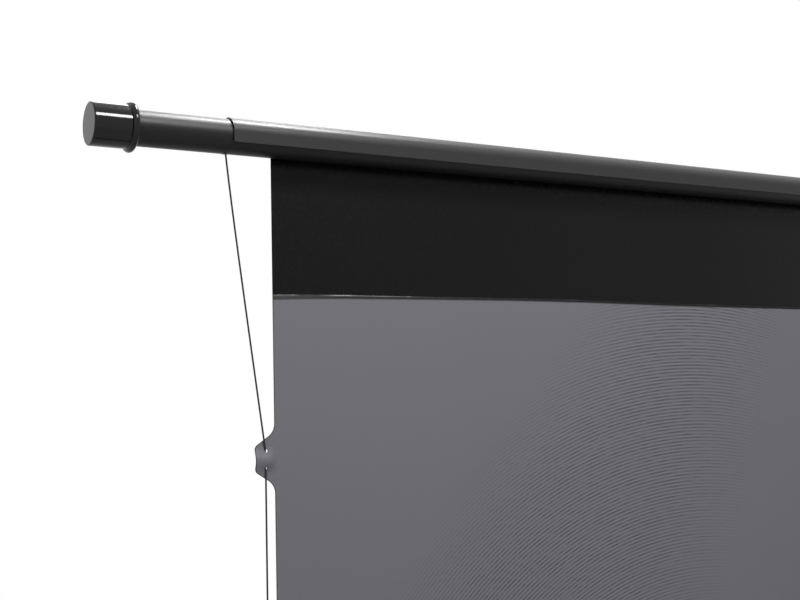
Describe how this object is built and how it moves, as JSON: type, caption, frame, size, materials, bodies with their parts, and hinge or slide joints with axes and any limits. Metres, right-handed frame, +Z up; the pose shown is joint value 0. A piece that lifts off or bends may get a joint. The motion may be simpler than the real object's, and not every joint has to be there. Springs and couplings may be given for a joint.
{
  "type": "portable projection screen",
  "caption": "Floor-standing pull-up projection screen: case with sprung roller and swivel feet, tabbed grey fabric tensioned by side cords, capped top bar, folding geared rear support.",
  "frame": {"origin": "floor level under the middle of the screen's bounding box", "axes": "+X along the bar to the right as seen from the front, +Y away from the viewer, +Z up"},
  "size_m": [2.101, 0.49, 1.382],
  "materials": {
    "gloss_black_plastic": "gloss moulded",
    "black_plastic": "fine grain moulded",
    "black_tube_paint": "satin powder coat",
    "black_rail": "black anodised",
    "black_case": "black powder coat",
    "arm_aluminium": "dark anodised",
    "black_plate": "black powder coat",
    "pin_steel": "zinc plated",
    "nylon": "natural nylon",
    "rubber": "plain",
    "grey_fabric": "fine satin coating, black back",
    "black_fabric": "matt coating",
    "seam": "welded strip",
    "cord": "braided cord",
    "roller_aluminium": "mill finish",
    "bronze": "sintered bush",
    "black_plastic_foot": "cast, black powder coat"
  },
  "bodies": {
    "base": {"case_shell": "black_case", "case_end_left": "black_plastic", "case_end_right": "black_plastic", "case_end_screws": "pin_steel", "slot_guide_front": "black_plastic", "slot_guide_rear": "black_plastic", "roller_bracket_left": "black_plastic", "roller_bracket_right": "black_plastic", "idle_bush": "bronze", "spring_shaft": "pin_steel", "spring_anchor": "nylon", "torsion_spring": "pin_steel", "base_plate": "black_plate", "base_plate_screws": "pin_steel", "base_pivot_pins": "pin_steel", "base_pivot_washers": "nylon", "foot_mounts": "nylon", "foot_pivot_bolts": "pin_steel", "foot_nut_plates": "pin_steel", "carry_handle_ears": "black_plastic", "carry_handle_pins": "pin_steel", "black_top_drop": "black_fabric", "grey_screen": "grey_fabric", "bottom_leader": "black_fabric", "top_weld_seam": "seam", "bottom_weld_seam": "seam", "tension_cord_left": "cord", "tension_cord_right": "cord"},
    "right_lower_arm": {"right_lower_arm": "arm_aluminium", "elbow_pin_right": "pin_steel", "elbow_washer_right": "nylon"},
    "left_lower_arm": {"left_lower_arm": "arm_aluminium", "elbow_pin_left": "pin_steel", "elbow_washer_left": "nylon"},
    "right_upper_arm": {"right_upper_arm": "arm_aluminium"},
    "left_upper_arm": {"left_upper_arm": "arm_aluminium"},
    "top_bar": {"top_tube": "black_tube_paint", "clamp_rail": "black_rail", "bar_end_cap_left": "gloss_black_plastic", "bar_end_cap_right": "gloss_black_plastic", "cord_grommets": "nylon", "cord_springs": "pin_steel", "cord_ferrules": "pin_steel", "top_plate": "black_plate", "top_pivot_pins": "pin_steel", "top_pivot_washers": "nylon", "pull_handle": "black_plastic"},
    "roller": {"roller_tube": "roller_aluminium", "fabric_roll": "black_fabric", "cord_spool_left": "black_plastic", "cord_spool_right": "black_plastic", "idle_plug": "black_plastic", "drive_plug": "black_plastic"},
    "foot_left": {"foot_left": "black_plastic_foot", "foot_pads_left": "rubber"},
    "foot_right": {"foot_right": "black_plastic_foot", "foot_pads_right": "rubber"},
    "carry_handle": {"carry_handle": "black_plastic"}
  },
  "joints": [
    {"name": "lift", "type": "hinge", "parent": "base", "child": "right_lower_arm", "pos_m": [0.03, 0.0445, 0.05], "axis": [0, 1, 0], "range_deg": [0, 50.15], "deforming": ["black_top_drop", "grey_screen", "bottom_leader", "top_weld_seam", "bottom_weld_seam", "tension_cord_left", "tension_cord_right"]},
    {"name": "left_gear", "type": "hinge", "parent": "base", "child": "left_lower_arm", "pos_m": [-0.03, 0.0445, 0.05], "axis": [0, 1, 0], "range_deg": [-50.15, 0]},
    {"name": "right_elbow", "type": "hinge", "parent": "right_lower_arm", "child": "right_upper_arm", "pos_m": [0.51526, 0.054, 0.6734], "axis": [0, 1, 0], "range_deg": [-100.3, 0]},
    {"name": "left_elbow", "type": "hinge", "parent": "left_lower_arm", "child": "left_upper_arm", "pos_m": [-0.51526, 0.054, 0.6734], "axis": [0, 1, 0], "range_deg": [0, 100.3]},
    {"name": "bar_level", "type": "hinge", "parent": "right_upper_arm", "child": "top_bar", "pos_m": [0.03, 0.054, 1.2968], "axis": [0, 1, 0], "range_deg": [0, 50.15]},
    {"name": "roller_spin", "type": "hinge", "parent": "base", "child": "roller", "pos_m": [0, -0.008, 0.0698], "axis": [1, 0, 0], "range_deg": [-2784, 0]},
    {"name": "foot_left_swivel", "type": "hinge", "parent": "base", "child": "foot_left", "pos_m": [-0.735, 0, 0.005], "axis": [0, 0, 1], "range_deg": [0, 90]},
    {"name": "foot_right_swivel", "type": "hinge", "parent": "base", "child": "foot_right", "pos_m": [0.735, 0, 0.005], "axis": [0, 0, -1], "range_deg": [0, 90]},
    {"name": "carry_handle_swing", "type": "hinge", "parent": "base", "child": "carry_handle", "pos_m": [0, -0.05, 0.0798], "axis": [-1, 0, 0], "range_deg": [0, 110]}
  ],
  "couplings": [
    {"joint": "left_gear", "follows": "lift", "ratio": -1},
    {"joint": "right_elbow", "follows": "lift", "ratio": -2},
    {"joint": "left_elbow", "follows": "lift", "ratio": 2},
    {"joint": "bar_level", "follows": "lift", "ratio": 1},
    {"joint": "roller_spin", "follows": "lift", "ratio": -55.5}
  ]
}
